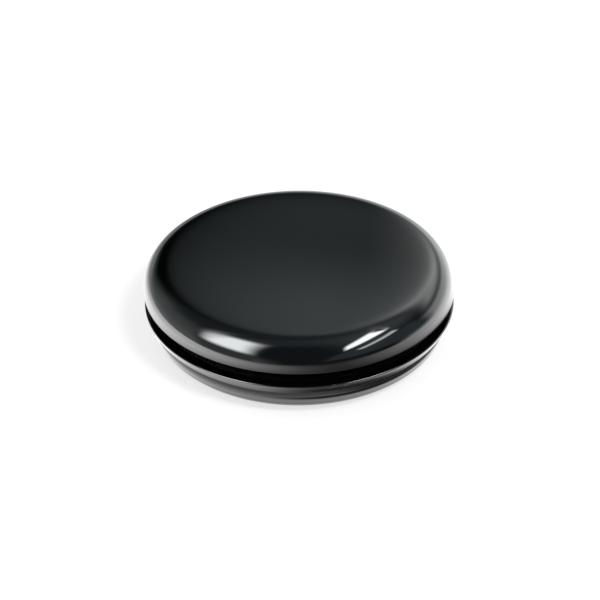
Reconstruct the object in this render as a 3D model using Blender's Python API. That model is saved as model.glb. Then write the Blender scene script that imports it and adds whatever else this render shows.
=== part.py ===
"""Clamp-type desk grommet: a domed cover and a dished lower shell that close on a panel's two faces.

The cover half is fixed. It carries a centring plate, whose spigot fills the panel's hole, and a
threaded stud. The lower shell slides on the spigot, and a slotted knob in its underside runs on the
stud, so turning the knob opens or closes the groove that grips the panel's edge.
"""
from math import cos, pi, radians, sin

import bmesh
import bpy
from mathutils import Matrix, Vector

MM = 0.001
TAU = 2 * pi

# Driving dimensions
SHELL_R = 40.0 * MM          # outer radius of both shells
BASE_R = 31.2 * MM           # flat ring that the object rests on
HEEL_R = 7.5 * MM            # rounding from the lower shell's side to its base
RIM_Z = 10.3 * MM            # top of the lower shell's rim
GROOVE = 3.7 * MM            # opening between the shells when closed
HOLE_R = 30.0 * MM           # the panel hole that the spigot suits
BAND_TAPER = 1.0 * MM        # how far the band under the rim draws in
TRAVEL = 6.0 * MM            # how far the lower shell moves down
PITCH = 2.0 * MM             # one turn of the knob
WALL = 2.0 * MM              # moulded wall
GAP = 0.3 * MM               # between pieces that meet
SHOULDER_R = 6.6 * MM        # rounding of the cover's edge
SHOULDER_RISE = 0.6 * MM     # upright band below the rounding
CROWN_ANGLE = radians(3.5)   # slope of the crown where the rounding begins
EDGE_R = 0.3 * MM            # small radius on the shells' meeting edges

# Heights worked out from them
COVER_Z = RIM_Z + GROOVE
CENTRE_Z = COVER_Z + SHOULDER_RISE
PLATE_Z = COVER_Z + 1.3 * MM
PLATE_TOP = PLATE_Z + 1.6 * MM
FLOOR_Z = 2.4 * MM
FLOOR_LIFT = 0.6 * MM
RECESS_Z = 6.0 * MM
RECESS_TOP = RECESS_Z + WALL
GUIDE_TOP = COVER_Z + 0.2 * MM

# Radii
SPIGOT_R = HOLE_R - 0.5 * MM
SPIGOT_INNER = SPIGOT_R - WALL
GUIDE_R = SPIGOT_INNER - GAP
GUIDE_INNER = GUIDE_R - WALL
SEAT_R = SHELL_R - 2.4 * MM
PLATE_R = SEAT_R - 0.6 * MM
GASKET_INNER = HOLE_R + 0.6 * MM
SCREW_PCR = 20.0 * MM
STUD_R = 4.9 * MM
STUD_CORE = 4.2 * MM
KNOB_R = 15.2 * MM
RECESS_R = KNOB_R + 0.4 * MM
HUB_R = 8.5 * MM
INSERT_R = 6.6 * MM
COUNTERBORE_R = 6.1 * MM
CLIP_R = 5.7 * MM

# Heights of the pieces on the stud
STUD_END = 1.2 * MM
CLIP_Z = 1.7 * MM
CLIP_TOP = CLIP_Z + 0.8 * MM
INSERT_Z = CLIP_TOP + TRAVEL + 0.1 * MM
KNOB_Z = 0.6 * MM
DISC_TOP = RECESS_Z - 1.5 * MM
WAVE_MID = RECESS_TOP + 0.55 * MM
RING_Z = RECESS_TOP + 1.1 * MM
RING_TOP = RING_Z + 0.9 * MM

LARGE, MEDIUM, SMALL = 60, 36, 24


def clear_scene():
    for obj in list(bpy.data.objects):
        bpy.data.objects.remove(obj, do_unlink=True)


def make_material(name, colour, roughness, metallic=0.0):
    material = bpy.data.materials.new(name)
    material.use_nodes = True
    shader = material.node_tree.nodes["Principled BSDF"]
    shader.inputs["Base Color"].default_value = (*colour, 1.0)
    shader.inputs["Roughness"].default_value = roughness
    shader.inputs["Metallic"].default_value = metallic
    material.diffuse_color = (*colour, 1.0)
    return material


def finish(name, bm, material=None):
    """Turn a bmesh into a smooth-shaded object with sharp corners kept."""
    bmesh.ops.recalc_face_normals(bm, faces=bm.faces)
    mesh = bpy.data.meshes.new(name)
    bm.to_mesh(mesh)
    bm.free()
    mesh.shade_smooth()
    mesh.set_sharp_from_angle(angle=radians(32))
    obj = bpy.data.objects.new(name, mesh)
    bpy.context.scene.collection.objects.link(obj)
    if material:
        mesh.materials.append(material)
    return obj


def lathe_mesh(outline, steps, angle=TAU, start=0.0):
    """Spin an (r, z) outline about Z. An outline that stays off the axis is closed on itself."""
    bm = bmesh.new()
    verts = [bm.verts.new((r, 0.0, z)) for r, z in outline]
    edges = [bm.edges.new(pair) for pair in zip(verts, verts[1:])]
    if outline[0][0] > 0.0:
        edges.append(bm.edges.new((verts[-1], verts[0])))
    full = abs(angle - TAU) < 1e-9
    bmesh.ops.rotate(bm, verts=verts, cent=(0, 0, 0), matrix=Matrix.Rotation(start, 3, "Z"))
    bmesh.ops.spin(bm, geom=verts + edges, axis=(0, 0, 1), cent=(0, 0, 0), angle=angle, steps=steps,
                   use_merge=full)
    bmesh.ops.remove_doubles(bm, verts=bm.verts, dist=1e-6)
    if not full:
        open_edges = [edge for edge in bm.edges if edge.is_boundary]
        bmesh.ops.holes_fill(bm, edges=open_edges, sides=0)
    return bm


def arc(centre, radius, start, end, count):
    """Points on an arc in the (r, z) plane, both ends included."""
    angles = [start + (end - start) * i / (count - 1) for i in range(count)]
    return [(centre[0] + radius * cos(a), centre[1] + radius * sin(a)) for a in angles]


def box_mesh(size, place, turn=0.0):
    bm = bmesh.new()
    matrix = Matrix.Rotation(turn, 4, "Z") @ Matrix.Translation(place) @ Matrix.Diagonal((*size, 1.0))
    bmesh.ops.create_cube(bm, size=1.0, matrix=matrix)
    return bm


def tube_mesh(inner, outer, low, high, steps=MEDIUM):
    return lathe_mesh([(inner, low), (outer, low), (outer, high), (inner, high)], steps)


def rod_mesh(radius, low, high, steps=SMALL, place=(0.0, 0.0)):
    bm = lathe_mesh([(0.0, low), (radius, low), (radius, high), (0.0, high)], steps)
    bmesh.ops.translate(bm, verts=bm.verts, vec=(*place, 0.0))
    return bm


def hex_mesh(across_flats, low, high):
    return lathe_mesh([(0.0, low), (across_flats / 2 / cos(pi / 6), low),
                       (across_flats / 2 / cos(pi / 6), high), (0.0, high)], 6)


def combine(target, tool_mesh, operation, name):
    """Join a helper shape to an object, or cut it out."""
    tool = finish(name, tool_mesh)
    tool.hide_render = True
    tool.display_type = "WIRE"
    modifier = target.modifiers.new(name, "BOOLEAN")
    modifier.operation = operation
    modifier.object = tool
    return tool


def at_three(radius, first=0.0):
    """Three places spaced evenly round a circle."""
    return [(radius * cos(first + TAU * i / 3), radius * sin(first + TAU * i / 3)) for i in range(3)]


def crown(shoulder_end, count):
    """Points up a shallow spherical crown, from the end of the shoulder to the axis."""
    sphere_r = shoulder_end[0] / sin(CROWN_ANGLE)
    low = shoulder_end[1] - sphere_r * cos(CROWN_ANGLE)
    angles = [CROWN_ANGLE * (1 - (i + 1) / count) for i in range(count)]
    return [(sphere_r * sin(a), low + sphere_r * cos(a)) for a in angles]


def cover_wall(radius, count, crown_count):
    """One surface of the cover: round the shoulder, then up the crown to the axis."""
    corner = (SHELL_R - SHOULDER_R, CENTRE_Z)
    shoulder = arc(corner, radius, 0.0, pi / 2 - CROWN_ANGLE, count)
    return shoulder + crown(shoulder[-1], crown_count)


def build_top_cover(material):
    outside = cover_wall(SHOULDER_R, 8, 4)
    inside = cover_wall(SHOULDER_R - WALL, 5, 3)
    edge = arc((SHELL_R - EDGE_R, COVER_Z + EDGE_R), EDGE_R, -pi / 2, 0.0, 3)
    outline = inside[::-1] + [(SHELL_R - WALL, COVER_Z)] + edge + outside
    cover = finish("top_cover", lathe_mesh(outline, LARGE), material)
    roof = CENTRE_Z + SHOULDER_R - 0.2 * MM
    for i, place in enumerate(at_three(SCREW_PCR, pi / 2)):
        combine(cover, rod_mesh(3.4 * MM, PLATE_TOP + GAP, roof, 16, place), "UNION", f"boss_{i + 1}")
        combine(cover, rod_mesh(1.7 * MM, PLATE_Z, roof - 1.5 * MM, 12, place), "DIFFERENCE", f"pilot_{i + 1}")
    combine(cover, rod_mesh(11.5 * MM, PLATE_TOP + GAP, roof, MEDIUM), "UNION", "stud_boss")
    combine(cover, hex_mesh(15.6 * MM, PLATE_Z, roof - 0.6 * MM), "DIFFERENCE", "head_pocket")
    return cover


def build_centring_plate(material):
    """Disc with a hanging spigot, slotted for the lower shell's keys."""
    hole = STUD_R + GAP
    outline = [(hole, PLATE_Z), (SPIGOT_INNER, PLATE_Z), (SPIGOT_INNER, FLOOR_Z + GAP),
               (SPIGOT_R - 0.4 * MM, FLOOR_Z + GAP), (SPIGOT_R, FLOOR_Z + GAP + 0.8 * MM),
               (SPIGOT_R, PLATE_Z), (PLATE_R, PLATE_Z), (PLATE_R, PLATE_TOP), (hole, PLATE_TOP)]
    plate = finish("centring_plate", lathe_mesh(outline, LARGE), material)
    height = PLATE_Z - 0.6 * MM
    for i in range(3):
        slot = box_mesh((6 * MM, 4 * MM, height), ((SPIGOT_INNER + SPIGOT_R) / 2, 0, height / 2), TAU * i / 3)
        combine(plate, slot, "DIFFERENCE", f"key_slot_{i + 1}")
    for i, place in enumerate(at_three(SCREW_PCR, pi / 2)):
        hole_mesh = rod_mesh(1.9 * MM, PLATE_Z - MM, PLATE_TOP + MM, 16, place)
        combine(plate, hole_mesh, "DIFFERENCE", f"screw_hole_{i + 1}")
    return plate


def build_gaskets(material):
    """Flat rubber rings that bear on the panel and stand a little proud of both shells."""
    proud = 0.2 * MM
    outer = SEAT_R - GAP
    cover_ring = tube_mesh(GASKET_INNER, outer, COVER_Z - proud, PLATE_Z - GAP, LARGE)
    lower_ring = tube_mesh(GASKET_INNER, outer, RIM_Z - 1.2 * MM + GAP, RIM_Z + proud, LARGE)
    return [finish("cover_gasket", cover_ring, material), finish("lower_gasket", lower_ring, material)]


def screw_mesh():
    """Pan-head screw with a cross recess, head down, its seat at the origin."""
    outline = [(0.0, 4.0 * MM), (0.8 * MM, 3.6 * MM), (1.4 * MM, 2.6 * MM), (1.4 * MM, 0.0),
               (2.8 * MM, 0.0), (2.8 * MM, -0.9 * MM), (2.2 * MM, -1.6 * MM), (0.0, -1.9 * MM)]
    body = finish("screw_blank", lathe_mesh(outline, SMALL))
    tools = [body]
    for turn in (0.0, pi / 2):
        slot = box_mesh((2.8 * MM, 0.7 * MM, 1.8 * MM), (0, 0, -1.9 * MM), turn)
        tools.append(combine(body, slot, "DIFFERENCE", f"cross_{len(tools)}"))
    evaluated = body.evaluated_get(bpy.context.evaluated_depsgraph_get())
    mesh = bpy.data.meshes.new_from_object(evaluated)
    for obj in tools:
        bpy.data.objects.remove(obj, do_unlink=True)
    return mesh


def build_plate_screws(material):
    mesh = screw_mesh()
    mesh.materials.clear()
    mesh.materials.append(material)
    for i, (x, y) in enumerate(at_three(SCREW_PCR, pi / 2)):
        screw = bpy.data.objects.new(f"plate_screw_{i + 1}", mesh)
        screw.location = (x, y, PLATE_Z - GAP)
        bpy.context.scene.collection.objects.link(screw)


def thread_mesh(low, high, core, crest, pitch, steps=SMALL):
    """Closed threaded rod: a right-hand ridge that fades out at both ends."""
    rows = round((high - low) / pitch * 6)
    bm = bmesh.new()
    rings = []
    for row in range(rows + 1):
        z = low + (high - low) * row / rows
        fade = min(1.0, (z - low) / pitch, (high - z) / pitch)
        ring = []
        for step in range(steps):
            angle = TAU * step / steps
            phase = (z / pitch - angle / TAU) % 1.0
            ridge = max(0.0, min(1.0, 2.0 - abs(phase - 0.5) * 5.0))
            radius = core + (crest - core) * ridge * max(0.0, fade)
            ring.append(bm.verts.new((radius * cos(angle), radius * sin(angle), z)))
        rings.append(ring)
    for below, above in zip(rings, rings[1:]):
        for i in range(steps):
            j = (i + 1) % steps
            bm.faces.new((below[i], below[j], above[j], above[i]))
    bm.faces.new(rings[0][::-1])
    bm.faces.new(rings[-1])
    return bm


def build_clamp_stud(material):
    """Stud with a thin hex head in the cover's pocket and a groove for its stop clip."""
    head_z = PLATE_TOP + 1.4 * MM
    stud = finish("clamp_stud", thread_mesh(STUD_END, head_z + MM, STUD_CORE, STUD_R, PITCH), material)
    combine(stud, hex_mesh(15.0 * MM, head_z, head_z + 1.7 * MM), "UNION", "stud_head")
    groove = tube_mesh(3.4 * MM, STUD_R + MM, CLIP_Z - 0.2 * MM, CLIP_TOP + 0.2 * MM, SMALL)
    combine(stud, groove, "DIFFERENCE", "clip_groove")
    washer = tube_mesh(STUD_R + GAP, 7.2 * MM, PLATE_TOP + GAP, head_z - GAP, SMALL)
    finish("stud_washer", washer, material)
    return stud


def c_ring(name, inner, outer, low, high, gap_angle, material):
    """Open ring, cut through on one side."""
    outline = [(inner, low), (outer, low), (outer, high), (inner, high)]
    bm = lathe_mesh(outline, SMALL, TAU - gap_angle, gap_angle / 2)
    return finish(name, bm, material)


def build_lower_shell(material):
    """Dished shell with a guide ring, three keys, a gasket shelf and the knob's recess."""
    shelf = RIM_Z - 1.2 * MM
    heel = arc((BASE_R, HEEL_R), HEEL_R, -pi / 2, 0.0, 9)
    crease = (SHELL_R - BAND_TAPER, HEEL_R + 0.1 * MM)
    rim = arc((SHELL_R - EDGE_R, RIM_Z - EDGE_R), EDGE_R, 0.0, pi / 2, 3)
    underside = [(HUB_R + GAP, RECESS_Z), (RECESS_R, RECESS_Z), (RECESS_R, FLOOR_LIFT),
                 (BASE_R - 2.6 * MM, FLOOR_LIFT), (BASE_R - 2.8 * MM, 0.0)]
    inside = [(SEAT_R, RIM_Z), (SEAT_R, shelf), (HOLE_R, shelf), (HOLE_R, FLOOR_Z), (GUIDE_R, FLOOR_Z),
              (GUIDE_R, GUIDE_TOP), (GUIDE_INNER, GUIDE_TOP), (GUIDE_INNER, FLOOR_Z),
              (RECESS_R + WALL, FLOOR_Z), (RECESS_R + WALL, RECESS_TOP), (HUB_R + GAP, RECESS_TOP)]
    shell = finish("lower_shell", lathe_mesh(underside + heel + [crease] + rim + inside, LARGE), material)
    for i in range(3):
        size = (2.5 * MM, 3.4 * MM, GUIDE_TOP - FLOOR_Z)
        place = (GUIDE_R + 0.5 * MM, 0, FLOOR_Z + size[2] / 2 - 0.2 * MM)
        combine(shell, box_mesh(size, place, TAU * i / 3), "UNION", f"key_{i + 1}")
    low_r, high_r = HOLE_R + 1.8 * MM, HOLE_R + 4.8 * MM
    outline = [(low_r, FLOOR_Z), (high_r, FLOOR_Z), (high_r, shelf + MM), (low_r, shelf + MM)]
    for i in range(8):
        pocket = lathe_mesh(outline, 5, TAU / 8 - radians(6), TAU * i / 8)
        combine(shell, pocket, "DIFFERENCE", f"pocket_{i + 1}")
    return shell


def build_knob(material):
    """Flat knob in the underside, with a coin slot, and a hub that reaches up round the stud."""
    groove_r = HUB_R - 0.9 * MM
    outline = [(COUNTERBORE_R, KNOB_Z), (KNOB_R - 0.5 * MM, KNOB_Z), (KNOB_R, KNOB_Z + 0.5 * MM),
               (KNOB_R, DISC_TOP - 0.4 * MM), (KNOB_R - 0.4 * MM, DISC_TOP), (HUB_R, DISC_TOP),
               (HUB_R, RING_Z - GAP / 2), (groove_r, RING_Z - GAP / 2), (groove_r, RING_TOP + GAP / 2),
               (HUB_R, RING_TOP + GAP / 2), (HUB_R, GUIDE_TOP), (INSERT_R + 0.1 * MM, GUIDE_TOP),
               (INSERT_R + 0.1 * MM, INSERT_Z - GAP), (COUNTERBORE_R, INSERT_Z - GAP)]
    knob = finish("clamp_knob", lathe_mesh(outline, MEDIUM), material)
    slot = box_mesh((26 * MM, 2.6 * MM, 4.0 * MM), (0, 0, KNOB_Z))
    combine(knob, slot, "DIFFERENCE", "coin_slot")
    return knob


def wave_washer(material):
    """Thin spring washer whose ring rises and falls three times."""
    inner, outer, half = HUB_R + GAP, HUB_R + 2.6 * MM, 0.15 * MM
    bm = tube_mesh(inner, outer, WAVE_MID - half, WAVE_MID + half, MEDIUM)
    for vert in bm.verts:
        vert.co.z += 0.2 * MM * sin(3 * Vector((1, 0)).angle_signed(vert.co.xy, 0.0))
    return finish("wave_washer", bm, material)


def main():
    clear_scene()
    gloss = make_material("cover_plastic", (0.012, 0.013, 0.014), 0.06)
    satin = make_material("shell_plastic", (0.013, 0.014, 0.015), 0.22)
    inner = make_material("inner_plastic", (0.010, 0.010, 0.011), 0.5)
    knob_plastic = make_material("knob_plastic", (0.016, 0.016, 0.017), 0.42)
    rubber = make_material("rubber", (0.008, 0.008, 0.008), 0.8)
    steel = make_material("zinc_steel", (0.62, 0.63, 0.65), 0.32, 1.0)
    spring = make_material("spring_steel", (0.12, 0.12, 0.13), 0.4, 1.0)
    brass = make_material("brass", (0.72, 0.53, 0.26), 0.3, 1.0)
    nylon = make_material("nylon", (0.72, 0.71, 0.66), 0.5)

    build_top_cover(gloss)
    build_centring_plate(inner)
    build_gaskets(rubber)
    build_plate_screws(steel)
    build_clamp_stud(steel)
    c_ring("stop_clip", 3.7 * MM, CLIP_R, CLIP_Z, CLIP_TOP, radians(60), spring)
    build_lower_shell(satin)
    build_knob(knob_plastic)
    finish("thrust_washer", tube_mesh(HUB_R + GAP, 14.0 * MM, DISC_TOP + GAP, RECESS_Z - GAP), nylon)
    wave_washer(spring)
    c_ring("retaining_ring", HUB_R - 0.7 * MM, HUB_R + 2.2 * MM, RING_Z, RING_TOP, radians(40), spring)
    insert = tube_mesh(STUD_R + 0.15 * MM, INSERT_R - GAP / 2, INSERT_Z, GUIDE_TOP, SMALL)
    finish("threaded_insert", insert, brass)


main()
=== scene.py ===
from math import atan2, cos, pi, radians, sin, tan

import bmesh
import bpy
from mathutils import Matrix, Vector


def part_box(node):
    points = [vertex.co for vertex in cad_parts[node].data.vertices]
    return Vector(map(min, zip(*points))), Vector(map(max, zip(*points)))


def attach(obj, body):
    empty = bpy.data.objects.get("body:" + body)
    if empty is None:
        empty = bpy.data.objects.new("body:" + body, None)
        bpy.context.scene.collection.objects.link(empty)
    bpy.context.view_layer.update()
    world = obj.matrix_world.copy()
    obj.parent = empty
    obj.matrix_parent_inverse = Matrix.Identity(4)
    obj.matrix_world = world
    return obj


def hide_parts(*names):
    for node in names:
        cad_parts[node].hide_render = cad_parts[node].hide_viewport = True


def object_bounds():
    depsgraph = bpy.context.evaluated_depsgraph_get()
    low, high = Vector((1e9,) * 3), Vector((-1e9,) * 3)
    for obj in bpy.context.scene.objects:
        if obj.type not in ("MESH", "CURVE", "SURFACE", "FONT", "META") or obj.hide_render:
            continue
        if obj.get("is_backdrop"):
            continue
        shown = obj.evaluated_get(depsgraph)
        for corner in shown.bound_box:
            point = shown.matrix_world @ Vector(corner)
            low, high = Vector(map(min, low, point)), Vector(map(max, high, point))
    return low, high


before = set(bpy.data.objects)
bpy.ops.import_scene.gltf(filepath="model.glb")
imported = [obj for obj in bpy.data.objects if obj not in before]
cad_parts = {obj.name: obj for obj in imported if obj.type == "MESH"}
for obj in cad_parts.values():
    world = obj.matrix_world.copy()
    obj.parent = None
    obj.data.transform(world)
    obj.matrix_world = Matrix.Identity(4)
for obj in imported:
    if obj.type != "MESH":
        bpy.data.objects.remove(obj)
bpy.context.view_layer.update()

MM = 0.001
TAU = 2 * pi
FINE, MEDIUM = 288, 144         # steps round a turned piece
SHARP = radians(30)             # corners above this angle stay sharp
GAP = 0.3 * MM                  # between pieces that meet

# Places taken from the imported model.
SHELL_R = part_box("top_cover")[1].x
COVER_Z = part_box("top_cover")[0].z
COVER_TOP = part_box("top_cover")[1].z
GUIDE_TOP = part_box("lower_shell")[1].z
GASKET_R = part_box("lower_gasket")[1].x
RIM_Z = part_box("lower_gasket")[1].z - 0.2 * MM
KNOB_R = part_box("clamp_knob")[1].x
KNOB_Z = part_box("clamp_knob")[0].z
KNOB_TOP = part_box("clamp_knob")[1].z
PLATE_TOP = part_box("centring_plate")[1].z
SCREWS = [sum(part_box(f"plate_screw_{i}"), Vector()).xy / 2 for i in (1, 2, 3)]

# Sizes of the two shells. All but the cover's profile are those of the CAD; the profile turns from
# crown to shoulder more gently than the CAD's two arcs.
WALL = 2.0 * MM
CENTRE_Z = COVER_Z + 0.6 * MM   # where the shoulder's rounding starts
SHOULDER_R = 6.51 * MM          # radius of the shoulder where it is tightest
CROWN_SLOPE = 0.046             # sine of the crown's slope, if it ran on to the edge
SOFTNESS = 0.10                 # how gently the crown turns into the shoulder
EDGE_R = 0.3 * MM               # small radius on the shells' meeting edges
BAND_TAPER = 1.0 * MM           # how far the band under the rim draws in
BASE_R = 31.2 * MM              # flat ring that the object rests on
HEEL_R = 7.5 * MM               # rounding from the lower shell's side to its base
SEAT_R = 37.6 * MM              # gasket seat
GASKET_INNER = 30.6 * MM
HOLE_R = 30.0 * MM              # the panel hole that the spigot suits
GUIDE_R = 27.2 * MM             # ring that the spigot slides on
FLOOR_Z = 2.4 * MM              # inside of the lower shell's floor
FLOOR_LIFT = 0.6 * MM           # its underside, above the base ring
RECESS_R = 15.6 * MM            # the knob's recess
RECESS_Z = 6.0 * MM
HUB_R = 8.5 * MM                # the knob's hub

# Camera, as fitted to the two rims.
VIEW_UP = radians(33.13)
VIEW_FAR = 0.4
LENS, SENSOR = 92.94, 36.0
PITCH, YAW, ROLL = radians(-0.648), radians(-0.026), radians(-0.54)


# ---- mesh helpers ----

def arc(centre, radius, start, end, count):
    """Points on an arc in the (r, z) plane, both ends included."""
    angles = [start + (end - start) * i / (count - 1) for i in range(count)]
    return [(centre[0] + radius * cos(a), centre[1] + radius * sin(a)) for a in angles]


def lathe(outline, steps, angle=TAU, start=0.0):
    """Spin an (r, z) outline about Z. An outline that stays off the axis is closed on itself."""
    bm = bmesh.new()
    verts = [bm.verts.new((r * cos(start), r * sin(start), z)) for r, z in outline]
    edges = [bm.edges.new(pair) for pair in zip(verts, verts[1:])]
    if outline[0][0] > 0.0:
        edges.append(bm.edges.new((verts[-1], verts[0])))
    full = angle == TAU
    bmesh.ops.spin(bm, geom=verts + edges, axis=(0, 0, 1), cent=(0, 0, 0), angle=angle, steps=steps,
                   use_merge=full)
    bmesh.ops.remove_doubles(bm, verts=bm.verts, dist=1e-7)
    if not full:
        bmesh.ops.holes_fill(bm, edges=[edge for edge in bm.edges if edge.is_boundary], sides=0)
    return bm


def rod(radius, low, high, steps, place=(0.0, 0.0)):
    """Upright prism or cylinder between two heights."""
    bm = lathe([(0.0, low), (radius, low), (radius, high), (0.0, high)], steps)
    bmesh.ops.translate(bm, verts=bm.verts, vec=(*place, 0.0))
    return bm


def together(shapes):
    """One bmesh with all the shapes in it."""
    bm = bmesh.new()
    for shape in shapes:
        mesh = bpy.data.meshes.new("shape")
        shape.to_mesh(mesh)
        shape.free()
        bm.from_mesh(mesh)
        bpy.data.meshes.remove(mesh)
    return bm


def block(size, place, turn=0.0):
    """Box of a size, centred at a place that is turned about Z."""
    bm = bmesh.new()
    spin = Matrix.Rotation(turn, 4, "Z")
    matrix = spin @ Matrix.Translation(place) @ Matrix.Diagonal((*size, 1.0))
    bmesh.ops.create_cube(bm, size=1.0, matrix=matrix)
    return bm


def piece(name, bm, material=None):
    """Turn a bmesh into a smooth-shaded object with its sharp corners kept."""
    bmesh.ops.recalc_face_normals(bm, faces=bm.faces)
    mesh = bpy.data.meshes.new(name)
    bm.to_mesh(mesh)
    bm.free()
    mesh.shade_smooth()
    mesh.set_sharp_from_angle(angle=SHARP)
    obj = bpy.data.objects.new(name, mesh)
    bpy.context.scene.collection.objects.link(obj)
    if material:
        mesh.materials.append(material)
    return obj


def combine(target, tool_bm, operation):
    """Join a helper shape to an object or cut it out, and apply the result."""
    tool = piece("tool", tool_bm)
    modifier = target.modifiers.new("combine", "BOOLEAN")
    modifier.operation = operation
    modifier.object = tool
    modifier.solver = "MANIFOLD"
    apply_modifiers(target)
    bpy.data.objects.remove(tool, do_unlink=True)


def apply_modifiers(obj):
    graph = bpy.context.evaluated_depsgraph_get()
    mesh = bpy.data.meshes.new_from_object(obj.evaluated_get(graph))
    obj.modifiers.clear()
    obj.data = mesh
    mesh.set_sharp_from_angle(angle=SHARP)


# ---- node helpers ----

def add(tree, kind, inputs=None, **settings):
    """Add a node; an input may be a value or another node's output."""
    item = tree.nodes.new(kind)
    for key, value in settings.items():
        setattr(item, key, value)
    for key, value in (inputs or {}).items():
        socket = item.inputs[key]
        if isinstance(value, bpy.types.NodeSocket):
            tree.links.new(value, socket)
        else:
            socket.default_value = value
    return item


def math(tree, operation, a, b=0.0, c=0.0):
    return add(tree, "ShaderNodeMath", {0: a, 1: b, 2: c}, operation=operation).outputs[0]


def map_range(tree, value, low, high, to_low, to_high, **settings):
    """Take low..high to to_low..to_high, held at both ends."""
    inputs = {"Value": value, "From Min": low, "From Max": high, "To Min": to_low, "To Max": to_high}
    return add(tree, "ShaderNodeMapRange", inputs, **settings).outputs[0]


def smooth(tree, value, low, high, to_low=0.0, to_high=1.0):
    return map_range(tree, value, low, high, to_low, to_high, interpolation_type="SMOOTHSTEP")


def noise(tree, vector, scale, detail=3.0, roughness=0.5):
    inputs = {"Vector": vector, "Scale": scale, "Detail": detail, "Roughness": roughness}
    return add(tree, "ShaderNodeTexNoise", inputs).outputs["Fac"]


def mix_colour(tree, factor, dark, light):
    inputs = {0: factor, 6: (*dark, 1.0), 7: (*light, 1.0)}
    return add(tree, "ShaderNodeMix", inputs, data_type="RGBA").outputs[2]


def turned_rings(tree, place):
    """Coordinates that are alike all round the centre line: (radius, 0, height)."""
    x, y, z = add(tree, "ShaderNodeSeparateXYZ", {0: place}).outputs
    squares = math(tree, "ADD", math(tree, "MULTIPLY", x, x), math(tree, "MULTIPLY", y, y))
    radius = math(tree, "SQRT", squares)
    return add(tree, "ShaderNodeCombineXYZ", {0: radius, 1: 0.0, 2: z}).outputs[0]


def surface(name, dark, light, rough, bump, grain, patch, metallic=0.0, specular=0.5, scuffs=0.0,
            turned=0.0, pits=0.0):
    """Procedural finish: two tones in soft patches, uneven gloss, fine grain, scuffs, lathe marks."""
    material = bpy.data.materials.new(name)
    material.use_nodes = True
    tree = material.node_tree
    shader = tree.nodes["Principled BSDF"]
    place = add(tree, "ShaderNodeTexCoord").outputs["Object"]
    patches = noise(tree, place, patch, 4.0)
    fine = noise(tree, place, grain, 2.0, 0.6)
    colour = mix_colour(tree, map_range(tree, patches, 0.3, 0.7, 0.0, 1.0), dark, light)
    roughness = map_range(tree, patches, 0.3, 0.7, rough[0], rough[1])
    height = fine
    if scuffs:
        stretch = {"Vector": place, "Rotation": (0.3, 0.2, 0.7), "Scale": (1, 14, 3)}
        lines = add(tree, "ShaderNodeMapping", stretch).outputs[0]
        marks = smooth(tree, noise(tree, lines, 160.0, 3.0), 0.6, 0.72)
        mask = smooth(tree, noise(tree, place, 90.0, 2.0), 0.48, 0.62)
        worn = math(tree, "MULTIPLY", marks, mask)
        roughness = math(tree, "ADD", roughness, math(tree, "MULTIPLY", worn, scuffs))
        height = math(tree, "SUBTRACT", height, math(tree, "MULTIPLY", worn, 0.5))
    if turned:
        lathe_marks = noise(tree, turned_rings(tree, place), 2600.0, 2.0)
        uneven = map_range(tree, lathe_marks, 0.3, 0.7, -turned, turned)
        roughness = math(tree, "ADD", roughness, uneven)
        height = math(tree, "ADD", height, lathe_marks)
    if pits:
        spots = smooth(tree, noise(tree, place, 420.0, 1.0), 0.68, 0.74)
        height = math(tree, "SUBTRACT", height, math(tree, "MULTIPLY", spots, pits))
    normal = add(tree, "ShaderNodeBump", {"Strength": bump, "Distance": 0.00005, "Height": height})
    tree.links.new(colour, shader.inputs["Base Color"])
    tree.links.new(roughness, shader.inputs["Roughness"])
    tree.links.new(normal.outputs[0], shader.inputs["Normal"])
    shader.inputs["Metallic"].default_value = metallic
    shader.inputs["Specular IOR Level"].default_value = specular
    return material


# ---- materials ----

# Darker tone, lighter tone, and the range of roughness; grain and patch are noise scales per metre.
gloss = surface("gloss_black", (0.0016, 0.0020, 0.0021), (0.0024, 0.0029, 0.0029), (0.012, 0.03),
                bump=0.02, grain=2200.0, patch=45.0, scuffs=0.05)
satin = surface("satin_black", (0.0014, 0.0016, 0.0018), (0.0028, 0.0031, 0.0034), (0.07, 0.12),
                bump=0.05, grain=1600.0, patch=80.0, scuffs=0.12)
moulded = surface("moulded_black", (0.0030, 0.0031, 0.0033), (0.0052, 0.0053, 0.0056), (0.42, 0.56),
                  bump=0.35, grain=3200.0, patch=70.0, specular=0.3, scuffs=0.1, pits=0.3)
grip = surface("knob_black", (0.0075, 0.0077, 0.0080), (0.0125, 0.0127, 0.0132), (0.34, 0.48),
               bump=0.3, grain=2800.0, patch=120.0, specular=0.4, scuffs=0.15, pits=0.3)
rubber = surface("rubber_black", (0.0012, 0.0012, 0.0012), (0.0022, 0.0022, 0.0022), (0.75, 0.9),
                 bump=0.5, grain=3600.0, patch=150.0, specular=0.08, pits=0.5)
zinc = surface("zinc_plated", (0.44, 0.45, 0.47), (0.66, 0.67, 0.69), (0.24, 0.40), bump=0.12,
               grain=1900.0, patch=260.0, metallic=1.0, scuffs=0.12, turned=0.05)
spring = surface("spring_steel", (0.09, 0.09, 0.10), (0.17, 0.165, 0.16), (0.32, 0.46), bump=0.12,
                 grain=2400.0, patch=300.0, metallic=1.0, scuffs=0.1, turned=0.04)
brass = surface("turned_brass", (0.55, 0.38, 0.15), (0.74, 0.55, 0.27), (0.22, 0.36), bump=0.15,
                grain=2000.0, patch=240.0, metallic=1.0, turned=0.08)
nylon = surface("nylon_white", (0.56, 0.54, 0.47), (0.70, 0.68, 0.62), (0.42, 0.54), bump=0.15,
                grain=1700.0, patch=160.0, specular=0.4, pits=0.2)


# ---- the shells ----

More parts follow.
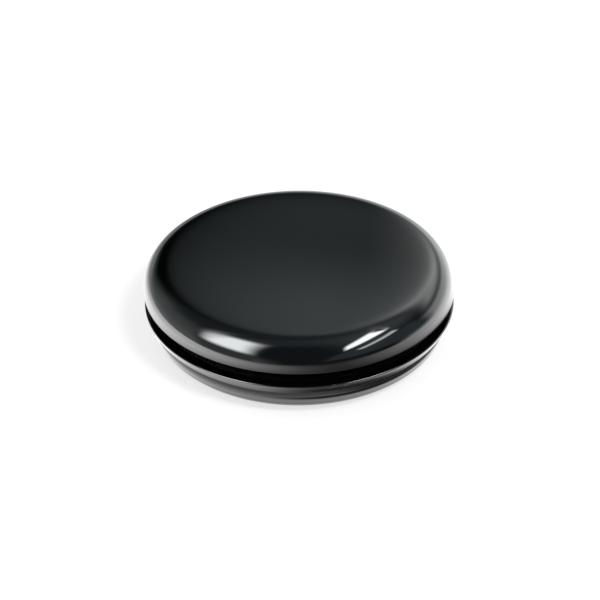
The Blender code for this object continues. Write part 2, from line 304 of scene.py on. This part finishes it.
def cover_profile(count):
    """The cover's outer surface as (radius, height, slope), from its upright edge to the axis.

    On a circle the sine of the slope grows evenly with the radius. Crown and shoulder are two such
    circles, and the profile follows their smooth maximum, so its curvature has no jump.
    """
    crown_k, edge_k = CROWN_SLOPE / SHELL_R, 1 / SHOULDER_R
    product = crown_k * edge_k
    offset = 1 - SOFTNESS ** 2 / (1 - CROWN_SLOPE) - SHELL_R * edge_k
    points = [(SHELL_R, CENTRE_Z, pi / 2)]
    for i in range(1, count):
        slope = pi / 2 * (1 - i / count) ** 1.8
        rise = sin(slope)
        half = (edge_k * rise + crown_k * (rise - offset)) / 2
        root = half ** 2 - product * (rise * (rise - offset) - SOFTNESS ** 2)
        radius = max(0.0, (half - root ** 0.5) / product)
        last_r, last_z, last_slope = points[-1]
        points.append((radius, last_z + tan((slope + last_slope) / 2) * (last_r - radius), slope))
        if radius == 0.0:
            break
    return points


def make_cover():
    """Domed cover with three screw bosses and a hexagonal pocket for the stud's head."""
    wall = cover_profile(120)
    outside = [(r, z) for r, z, _ in wall]
    inside = [(max(0.0, r - WALL * sin(slope)), z - WALL * cos(slope))
              for r, z, slope in wall[::4] + wall[-1:]]
    edge = arc((SHELL_R - EDGE_R, COVER_Z + EDGE_R), EDGE_R, -pi / 2, 0.0, 7)
    foot = [(SHELL_R - WALL, COVER_Z + 0.1 * MM), (SHELL_R - WALL + 0.1 * MM, COVER_Z)]
    cover = piece("cover_skin", lathe(inside[::-1] + foot + edge + outside, FINE), gloss)
    low, high = PLATE_TOP + GAP, COVER_TOP - 1.2 * MM
    bosses = [rod(11.5 * MM, low, high, 96)]
    bosses += [rod(3.4 * MM, low, high, 36, place) for place in SCREWS]
    combine(cover, together(bosses), "UNION")
    holes = [rod(7.8 * MM / cos(pi / 6), low - MM, high - 0.6 * MM, 6)]
    holes += [rod(1.7 * MM, low - MM, high - 1.5 * MM, 24, place) for place in SCREWS]
    combine(cover, together(holes), "DIFFERENCE")
    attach(cover, "cover")
    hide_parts("top_cover")


def make_shell():
    """Dished shell with a guide ring, three keys and eight pockets; its band overhangs the rounding."""
    shelf = RIM_Z - 1.2 * MM
    heel = arc((BASE_R, HEEL_R), HEEL_R, -pi / 2, radians(-3), 32)
    band_r = SHELL_R - BAND_TAPER
    ledge = [(band_r - 0.28 * MM, HEEL_R + 0.02 * MM), (band_r - 0.28 * MM, HEEL_R + 0.24 * MM)]
    ledge += arc((band_r - 0.08 * MM, HEEL_R + 0.34 * MM), 0.08 * MM, -pi / 2, 0.0, 5)
    rim = arc((SHELL_R - EDGE_R, RIM_Z - EDGE_R), EDGE_R, 0.0, pi / 2, 7)
    underside = [(HUB_R + GAP, RECESS_Z), (RECESS_R, RECESS_Z), (RECESS_R, FLOOR_LIFT + 0.3 * MM),
                 (RECESS_R + 0.3 * MM, FLOOR_LIFT), (BASE_R - 2.6 * MM, FLOOR_LIFT),
                 (BASE_R - 2.8 * MM, 0.15 * MM), (BASE_R - 2.65 * MM, 0.0)]
    inside = [(SEAT_R, RIM_Z), (SEAT_R, shelf), (HOLE_R, shelf), (HOLE_R, FLOOR_Z), (GUIDE_R, FLOOR_Z),
              (GUIDE_R, GUIDE_TOP - 0.3 * MM), (GUIDE_R - 0.3 * MM, GUIDE_TOP),
              (GUIDE_R - WALL, GUIDE_TOP), (GUIDE_R - WALL, FLOOR_Z), (RECESS_R + WALL, FLOOR_Z),
              (RECESS_R + WALL, RECESS_Z + WALL), (HUB_R + GAP, RECESS_Z + WALL)]
    shell = piece("shell_skin", lathe(underside + heel + ledge + rim + inside, FINE), satin)
    size = (2.5 * MM, 3.4 * MM, GUIDE_TOP - FLOOR_Z)
    place = (GUIDE_R + 0.5 * MM, 0, FLOOR_Z + size[2] / 2 - 0.2 * MM)
    combine(shell, together([block(size, place, TAU * i / 3) for i in range(3)]), "UNION")
    low_r, high_r = HOLE_R + 1.8 * MM, HOLE_R + 4.8 * MM
    pocket = [(low_r, FLOOR_Z), (high_r, FLOOR_Z), (high_r, shelf + MM), (low_r, shelf + MM)]
    pockets = [lathe(pocket, 20, TAU / 8 - radians(6), TAU * i / 8) for i in range(8)]
    combine(shell, together(pockets), "DIFFERENCE")
    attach(shell, "shell")
    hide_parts("lower_shell")


def make_gasket(name, node, body, bearing, other):
    """Rubber ring with fine sealing ribs on its bearing face."""
    ribs, points = 7, 56
    width = GASKET_R - GASKET_INNER
    depth = 0.12 * MM if bearing > other else -0.12 * MM
    outline = [(GASKET_INNER, other), (GASKET_R, other), (GASKET_R, bearing - depth)]
    for i in range(points + 1):
        t = i / points
        dip = depth * (0.5 - 0.5 * cos(TAU * ribs * t + pi))
        outline.append((GASKET_R - width * (0.03 + 0.94 * t), bearing - dip))
    outline.append((GASKET_INNER, bearing - depth))
    ring = piece(name, lathe(outline, MEDIUM), rubber)
    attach(ring, body)
    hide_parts(node)


def rounded_slot(length, rings):
    """Straight slot with round ends, lofted through (half width, height) rings."""
    bm = bmesh.new()
    loops = []
    reach = length / 2 - rings[-1][0]
    for half, z in rings:
        loop = []
        for side, start in ((1, -pi / 2), (-1, pi / 2)):
            for x, y in arc((0.0, 0.0), half, start, start + pi, 13):
                loop.append(bm.verts.new((x + side * reach, y, z)))
        loops.append(loop)
    for below, above in zip(loops, loops[1:]):
        for i, vert in enumerate(below):
            j = (i + 1) % len(below)
            bm.faces.new((vert, below[j], above[j], above[i]))
    bm.faces.new(loops[0][::-1])
    bm.faces.new(loops[-1])
    return bm


def make_knob():
    """Flat knob with a finger-grip rim, a chamfered coin slot and a grooved hub."""
    ring_low, ring_high = (corner.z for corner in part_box("retaining_ring"))
    insert_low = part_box("threaded_insert")[0].z
    disc_top = RECESS_Z - 1.5 * MM
    hole, insert, groove = 6.1 * MM, 6.7 * MM, HUB_R - 0.9 * MM
    lip = arc((KNOB_R - 0.5 * MM, KNOB_Z + 0.5 * MM), 0.5 * MM, -pi / 2, 0.0, 6)
    outline = [(hole, KNOB_Z + 0.3 * MM), (hole + 0.3 * MM, KNOB_Z), (hole + 1.6 * MM, KNOB_Z)]
    outline += [(hole + 1.9 * MM, KNOB_Z + 0.3 * MM), (KNOB_R - 2.1 * MM, KNOB_Z + 0.3 * MM),
                (KNOB_R - 1.8 * MM, KNOB_Z)]
    outline += lip
    outline += [(KNOB_R, disc_top - 0.4 * MM), (KNOB_R - 0.4 * MM, disc_top), (HUB_R, disc_top)]
    outline += [(HUB_R, ring_low - 0.15 * MM), (groove, ring_low - 0.15 * MM),
                (groove, ring_high + 0.15 * MM), (HUB_R, ring_high + 0.15 * MM),
                (HUB_R, KNOB_TOP - 0.3 * MM), (HUB_R - 0.3 * MM, KNOB_TOP), (insert, KNOB_TOP),
                (insert, insert_low - GAP), (hole, insert_low - GAP)]
    bm = lathe(outline, 240)
    notches, notch_depth = 30, 0.45 * MM
    for vert in bm.verts:
        radius = vert.co.xy.length
        if radius > KNOB_R - 0.7 * MM:
            dip = (0.5 - 0.5 * cos(notches * atan2(vert.co.y, vert.co.x))) ** 3
            vert.co.xy *= 1 - dip * notch_depth / radius
    knob = piece("knob_grip", bm, grip)
    half = 1.3 * MM
    rings = [(half + 0.8 * MM, KNOB_Z - 0.55 * MM), (half, KNOB_Z + 0.25 * MM),
             (half, KNOB_Z + 2.0 * MM)]
    combine(knob, rounded_slot(26 * MM, rings), "DIFFERENCE")
    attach(knob, "knob")
    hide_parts("clamp_knob")


def make_plate():
    """Disc under the cover with the spigot that fills the panel's hole, slotted for three keys."""
    low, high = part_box("centring_plate")
    plate_z = high.z - 1.6 * MM
    outer, inner = HOLE_R - 0.5 * MM, HOLE_R - 2.5 * MM
    bore = 5.2 * MM
    outline = [(bore, plate_z), (inner, plate_z), (inner, low.z + 0.2 * MM), (inner + 0.2 * MM, low.z),
               (outer - 0.4 * MM, low.z), (outer, low.z + 0.8 * MM), (outer, plate_z - 0.4 * MM),
               (outer + 0.12 * MM, plate_z - 0.12 * MM), (outer + 0.4 * MM, plate_z),
               (high.x, plate_z), (high.x, high.z), (bore, high.z)]
    plate = piece("spigot_plate", lathe(outline, MEDIUM), moulded)
    slot_top = plate_z - 0.6 * MM
    size, place = (6 * MM, 4 * MM, slot_top), ((inner + outer) / 2, 0, slot_top / 2)
    cuts = [block(size, place, TAU * i / 3) for i in range(3)]
    cuts += [rod(1.9 * MM, plate_z - MM, high.z + MM, 32, place) for place in SCREWS]
    combine(plate, together(cuts), "DIFFERENCE")
    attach(plate, "cover")
    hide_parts("centring_plate")


make_cover()
make_shell()
make_knob()
make_plate()
low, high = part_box("cover_gasket")
make_gasket("cover_ring", "cover_gasket", "cover", low.z, high.z)
low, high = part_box("lower_gasket")
make_gasket("lower_ring", "lower_gasket", "shell", high.z, low.z)

KEPT_NODES = {
    "clamp_stud": zinc, "stud_washer": zinc, "plate_screw_1": zinc, "plate_screw_2": zinc,
    "plate_screw_3": zinc, "stop_clip": spring, "wave_washer": spring, "retaining_ring": spring,
    "threaded_insert": brass, "thrust_washer": nylon,
}
for node, finish in KEPT_NODES.items():
    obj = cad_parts[node]
    obj.data.materials.clear()
    obj.data.materials.append(finish)


# ---- the room: floor, light and reflections ----

def direction(azimuth, elevation):
    """Unit vector; azimuth 0 is away from the camera and grows to the right."""
    a, e = radians(azimuth), radians(elevation)
    return Vector((sin(a) * cos(e), cos(a) * cos(e), sin(e)))


def dot(tree, vector, fixed):
    item = add(tree, "ShaderNodeVectorMath", {0: vector, 1: fixed}, operation="DOT_PRODUCT")
    return item.outputs["Value"]


def pane(tree, vector, corners, soft):
    """1 inside a flat pane seen from the origin, 0 outside; corners run anticlockwise from inside."""
    points = [direction(*corner) for corner in corners]
    mask = None
    for a, b in zip(points, points[1:] + points[:1]):
        side = smooth(tree, dot(tree, vector, b.cross(a).normalized()), -soft, soft)
        mask = math(tree, "MULTIPLY", mask, side) if mask else side
    return mask


WHITE, GREEN, COOL = (0.98, 1.01, 1.01), (0.92, 1.04, 1.03), (0.80, 1.01, 1.18)
BACK_WALL = 0.12                # brightness behind the camera

# Soft lights and dim walls that the gloss reflects, each drawn over the ones before it:
# name, corners as (azimuth, elevation), softness, brightness, tint.
ROOM = [
    ("ceiling", [(-180, 72), (-90, 60), (-0, 55), (90, 60)], 0.275, 0.357, COOL),
    ("left_wall", [(-104, -1), (-26, -4), (-29, 45), (-95, 58)], 0.104, 0.806, GREEN),
    ("left_upper", [(-92, 41), (-25, 34), (-21, 65), (-95, 69)], 0.247, 0.204, GREEN),
    ("left_low", [(-158, -7), (-48, -9), (-61, 12), (-158, 10)], 0.253, 1.33, WHITE),
    ("far_middle", [(-17, 27), (7, 32), (29, 58), (-4, 56)], 0.135, 0.786, GREEN),
    ("far_ceiling", [(-62, 34), (64, 46), (60, 62), (-62, 64)], 0.15, 0.217, COOL),
    ("far_gap", [(-47, 11), (-4, 3), (-1, 37), (-43, 49)], 0.254, 0.00131, GREEN),
    ("far_low", [(-3, 23), (14, 26), (15, 32), (-4, 32)], 0.096, 0.241, GREEN),
    ("far_right", [(13, 21), (68, 33), (55, 41), (14, 50)], 0.138, 2.98, WHITE),
    ("right_table", [(-0, 12), (72, -17), (80, 27), (10, 16)], 0.15, 2.57, WHITE),
    ("right_low", [(-3, 0), (103, -10), (105, 2), (-3, 0)], 0.204, 7.43, WHITE),
    ("right_wall", [(84, 7), (164, 8), (155, 29), (82, 35)], 0.075, 0.446, COOL),
    ("right_glow", [(34, 43), (137, 26), (141, 57), (36, 73)], 0.327, 0.91, GREEN),
    ("window_glow", [(-151, -3), (-109, 0), (-59, 72), (-138, 76)], 0.084, 0.62, GREEN),
    ("window", [(-143, 26), (-107, 26), (-88, 64), (-126, 69)], 0.125, 18.7, WHITE),
    ("window_dim", [(-98, 31), (-82, 56), (-80, 57), (-105, 43)], 0.139, 17.5, WHITE),
    ("strip", [(78.9, 55.5), (144.3, 39.6), (139.4, 51.7), (54.2, 62.7)], 0.034, 24, WHITE),
    ("strip_left", [(24.8, 58.2), (82.5, 54.4), (65.2, 70.2), (25.3, 58.4)], 0.044, 1.26, WHITE),
    ("strip_low", [(93.8, 40.8), (134.3, 29.6), (137.3, 32.8), (92.8, 46.9)], 0.031, 8.84, WHITE),
]


def make_world():
    """Plain white to the camera, an even dim light on rough surfaces, and the panes in reflections."""
    world = bpy.data.worlds.new("room")
    bpy.context.scene.world = world
    world.use_nodes = True
    tree = world.node_tree
    vector = add(tree, "ShaderNodeTexCoord").outputs["Generated"]
    colour = (*(BACK_WALL * part for part in COOL), 1.0)
    for _, corners, soft, strength, tint in ROOM:
        mask = pane(tree, vector, corners, soft)
        light = (*(strength * part for part in tint), 1.0)
        inputs = {0: mask, 6: colour, 7: light}
        colour = add(tree, "ShaderNodeMix", inputs, data_type="RGBA").outputs[2]
    rays = add(tree, "ShaderNodeLightPath").outputs
    plain = mix_colour(tree, rays["Is Camera Ray"], (0.32, 0.32, 0.32), (1.0, 1.0, 1.0))
    inputs = {0: rays["Is Glossy Ray"], 6: plain, 7: colour}
    shown = add(tree, "ShaderNodeMix", inputs, data_type="RGBA").outputs[2]
    tree.links.new(shown, tree.nodes["Background"].inputs["Color"])
    world.cycles.sampling_method = "NONE"


def painted_reflection_level(tree, place, unit, radius):
    """Painted reflection of the table, seen only in reflections: painted light on the bright sides far
    out, painted shade that dims it near and under the object.
    """

    def product(*factors):
        result = factors[0]
        for factor in factors[1:]:
            result = math(tree, "MULTIPLY", result, factor)
        return result

    def lobe(azimuth, power, gain):
        toward = math(tree, "MAXIMUM", dot(tree, unit, direction(azimuth, 0)), 0.0)
        return math(tree, "MULTIPLY", math(tree, "POWER", toward, power), gain)

    def sector(azimuth, low, high):
        return smooth(tree, dot(tree, unit, direction(azimuth, 0)), low, high)

    def ring(rise_from, rise_to, fall_from, fall_to):
        rise = smooth(tree, radius, rise_from * MM, rise_to * MM)
        return product(rise, smooth(tree, radius, fall_from * MM, fall_to * MM, 1.0, 0.0))

    # Painted reflection far out: bright to the left and right, and fading towards the near edge.
    sides = math(tree, "ADD", lobe(-112, 2.2, 6.1), lobe(72, 1.8, 4.0))
    depth = add(tree, "ShaderNodeSeparateXYZ", {0: place}).outputs["Y"]
    far = product(math(tree, "ADD", sides, 0.5), smooth(tree, radius, 46 * MM, 80 * MM, 0.5, 1.0),
                  smooth(tree, depth, -0.30, -0.08, 0.35, 1.0))

    # Close in, painted light round the foot except for painted shade in front on the right, and painted
    # shade underneath.
    # Painted shade: darkens the reflected table in front on the right, close to the foot.
    shade = product(product(sector(152, 0.66, 0.985), ring(39.8, 40.8, 41.8, 43.0)), -1.95)
    near = math(tree, "ADD", smooth(tree, radius, 40 * MM, 46 * MM, 2.1, 1.0), shade)
    near = product(math(tree, "MAXIMUM", near, 0.1),
                   smooth(tree, radius, 29 * MM, 36 * MM, 0.12, 1.0),
                   smooth(tree, radius, 36.8 * MM, 39.2 * MM, 0.42, 1.0))

    # From one to the other, with a painted dark belt on the right where the lower shell looks.
    away = smooth(tree, radius, 43 * MM, 56 * MM)
    level = add(tree, "ShaderNodeMix", {0: away, 2: near, 3: far}, data_type="FLOAT").outputs[0]
    # Painted shade: a dark belt in the reflected table on the right.
    painted_dark_belt = product(product(sector(125, 0.70, 0.95), ring(40.5, 43.0, 50.0, 58.0)), 0.82)
    return product(level, math(tree, "SUBTRACT", 1.0, painted_dark_belt))


def make_floor():
    """White table, plain to the eye, with a painted reflection glow that only reflections see. Unseen
    from below.
    """
    bm = bmesh.new()
    bmesh.ops.create_circle(bm, cap_ends=True, segments=128, radius=1.2)
    material = bpy.data.materials.new("white_table")
    material.use_nodes = True
    tree = material.node_tree
    tree.nodes.remove(tree.nodes["Principled BSDF"])
    place = add(tree, "ShaderNodeTexCoord").outputs["Object"]
    unit = add(tree, "ShaderNodeVectorMath", {0: place}, operation="NORMALIZE").outputs[0]
    radius = add(tree, "ShaderNodeVectorMath", {0: place}, operation="LENGTH").outputs["Value"]
    tone = mix_colour(tree, noise(tree, place, 30.0), (0.78, 0.78, 0.78), (0.82, 0.82, 0.82))
    lit = add(tree, "ShaderNodeBsdfDiffuse", {"Color": tone}).outputs[0]
    # Lifts the table to the background's white; a little more far out, where the lamp is weaker.
    lift = smooth(tree, radius, 0.08, 0.4, 0.68, 0.88)
    fill = add(tree, "ShaderNodeEmission", {"Strength": lift}).outputs[0]
    seen = add(tree, "ShaderNodeAddShader", {0: lit, 1: fill}).outputs[0]
    level = painted_reflection_level(tree, place, unit, radius)
    # Emission that only glossy rays see: a painted reflection, with painted light at the sides and
    # painted shade near and under the object.
    glow = add(tree, "ShaderNodeEmission", {"Strength": level}).outputs[0]
    glossy = add(tree, "ShaderNodeLightPath").outputs["Is Glossy Ray"]
    both = add(tree, "ShaderNodeMixShader", {0: glossy, 1: seen, 2: glow}).outputs[0]
    behind = add(tree, "ShaderNodeNewGeometry").outputs["Backfacing"]
    clear = add(tree, "ShaderNodeBsdfTransparent").outputs[0]
    shown = add(tree, "ShaderNodeMixShader", {0: behind, 1: both, 2: clear}).outputs[0]
    tree.links.new(shown, tree.nodes["Material Output"].inputs["Surface"])
    material.cycles.emission_sampling = "NONE"
    floor = piece("table_top", bm, material)
    floor.location.z = -0.02 * MM
    floor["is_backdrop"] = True


def make_light():
    """Soft light from the right and the front, which lays a faint shadow behind and to the left."""
    azimuth, elevation, distance = 144, 53, 0.9
    data = bpy.data.lights.new("soft_key", "AREA")
    data.shape = "DISK"
    data.size = 0.2
    data.energy = 1.8
    light = bpy.data.objects.new("soft_key", data)
    bpy.context.scene.collection.objects.link(light)
    light.location = direction(azimuth, elevation) * distance
    light.rotation_euler = (-light.location).to_track_quat("-Z", "Y").to_euler()
    light.visible_camera = False
    light.visible_glossy = False


def make_camera():
    """Camera on the photograph's line of sight, turned slightly so that the object sits as in it."""
    data = bpy.data.cameras.new("camera")
    data.lens = LENS
    data.sensor_width = SENSOR
    data.clip_start, data.clip_end = 0.01, 10.0
    camera = bpy.data.objects.new("camera", data)
    bpy.context.scene.collection.objects.link(camera)
    bpy.context.scene.camera = camera
    back = Vector((0.0, -cos(VIEW_UP), sin(VIEW_UP)))
    look = (-back).to_track_quat("-Z", "Y").to_matrix().to_4x4()
    pitch, yaw = Matrix.Rotation(PITCH, 4, "X"), Matrix.Rotation(YAW, 4, "Y")
    aim = yaw @ pitch @ Matrix.Rotation(ROLL, 4, "Z")
    place = Vector((0, 0, COVER_Z)) + back * VIEW_FAR
    camera.matrix_world = Matrix.Translation(place) @ look @ aim


make_world()
make_floor()
make_light()
make_camera()
bpy.context.scene.view_settings.view_transform = "Standard"

low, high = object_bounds()
